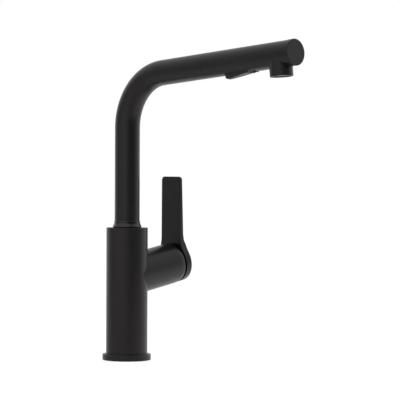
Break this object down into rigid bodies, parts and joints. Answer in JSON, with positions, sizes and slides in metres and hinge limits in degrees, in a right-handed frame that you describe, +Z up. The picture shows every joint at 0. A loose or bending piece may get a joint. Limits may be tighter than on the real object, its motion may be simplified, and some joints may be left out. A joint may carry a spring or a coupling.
{
  "type": "pull-out kitchen mixer tap",
  "caption": "Single-lever kitchen mixer: upright round body, side lever, swivelling L-shaped tube spout and pull-out spray head with a rocker switch.",
  "frame": {"origin": "centre of the base on the worktop", "axes": "+Z up, spout towards -Y, lever on the +X side"},
  "size_m": [0.1186, 0.2938, 0.3706],
  "materials": {
    "satin_black": "satin powder coat",
    "black_plastic": "fine moulded grain",
    "dome_black": "glossy black",
    "brass": "turned",
    "copper": "drawn tube",
    "steel": "turned",
    "white_plastic": "moulded acetal",
    "ceramic": "lapped ceramic",
    "rubber": "moulded rubber",
    "spray_rubber": "silicone",
    "mesh": "pale moulded grid",
    "hose": "braided nylon hose"
  },
  "bodies": {
    "mixer_body": {"base_ring": "satin_black", "base_gasket": "rubber", "body_shell": "satin_black", "inlet_block": "brass", "hot_water_pipe": "copper", "cold_water_pipe": "copper", "mixed_water_pipe": "copper", "hose_guide": "black_plastic", "swivel_stop_screw": "dome_black", "cartridge_base": "white_plastic", "cartridge_seals": "rubber", "fixed_ceramic_disc": "ceramic", "cartridge_housing": "white_plastic", "retaining_nut": "brass", "dome_cover": "dome_black"},
    "spout": {"spout_foot": "dome_black", "spout_collar": "dome_black", "spout_tube": "satin_black", "swivel_seals": "rubber", "upper_glide_ring": "white_plastic", "lower_glide_ring": "white_plastic", "dock_bush": "black_plastic", "spray_hose_rear": "hose", "hose_plug": "brass"},
    "hose_end": {"spray_hose_front": "hose", "hose_ferrule": "steel"},
    "spray_head": {"hose_connector": "brass", "hose_washer": "rubber", "check_valve": "white_plastic", "spigot_seal": "rubber", "head_waterway": "black_plastic", "head_shell": "satin_black", "head_end_cap": "satin_black", "nozzle_sleeve": "satin_black", "aerator_housing": "black_plastic", "aerator_mesh": "mesh", "spray_ring": "spray_rubber", "rocker_pin": "steel"},
    "spray_switch": {"rocker_button": "black_plastic"},
    "diverter": {"diverter_spool": "white_plastic"},
    "turret": {"cartridge_turret": "white_plastic", "turret_pin": "steel"},
    "disc_slide": {"disc_carrier": "white_plastic", "moving_ceramic_disc": "ceramic"},
    "lever": {"lever_handle": "satin_black", "cartridge_stem": "steel", "lever_grub_screw": "steel", "indicator_plug": "black_plastic"}
  },
  "joints": [
    {"name": "spout_swivel", "type": "hinge", "parent": "mixer_body", "child": "spout", "pos_m": [0, 0, 0.136], "axis": [0, 0, 1], "range_deg": [-70, 70]},
    {"name": "hose_pull", "type": "slide", "parent": "spout", "child": "hose_end", "axis": [0, -0.9962, 0.0872], "range_m": [0, 0.45]},
    {"name": "head_spin", "type": "hinge", "parent": "hose_end", "child": "spray_head", "pos_m": [0, -0.11456, 0.34262], "axis": [0, -0.9962, 0.0872], "continuous": true},
    {"name": "switch_tilt", "type": "hinge", "parent": "spray_head", "child": "spray_switch", "pos_m": [0, -0.18551, 0.3406], "axis": [1, 0, 0], "range_deg": [0, 8]},
    {"name": "spool_shift", "type": "slide", "parent": "spray_head", "child": "diverter", "axis": [0, -0.9962, 0.0872], "range_m": [0, 0.00075]},
    {"name": "lever_turn", "type": "hinge", "parent": "mixer_body", "child": "turret", "pos_m": [0.06874, 0, 0.11132], "axis": [0.9848, 0, 0.1736], "range_deg": [-45, 45]},
    {"name": "lever_tilt", "type": "hinge", "parent": "turret", "child": "lever", "pos_m": [0.06874, 0, 0.11132], "axis": [0, 1, 0], "range_deg": [0, 20]},
    {"name": "disc_shift", "type": "slide", "parent": "turret", "child": "disc_slide", "axis": [-0.1736, 0, 0.9848], "range_m": [0, 0.0032]}
  ],
  "couplings": [
    {"joint": "spool_shift", "follows": "switch_tilt", "m_per_rad": 0.0052},
    {"joint": "disc_shift", "follows": "lever_tilt", "m_per_rad": 0.009}
  ]
}
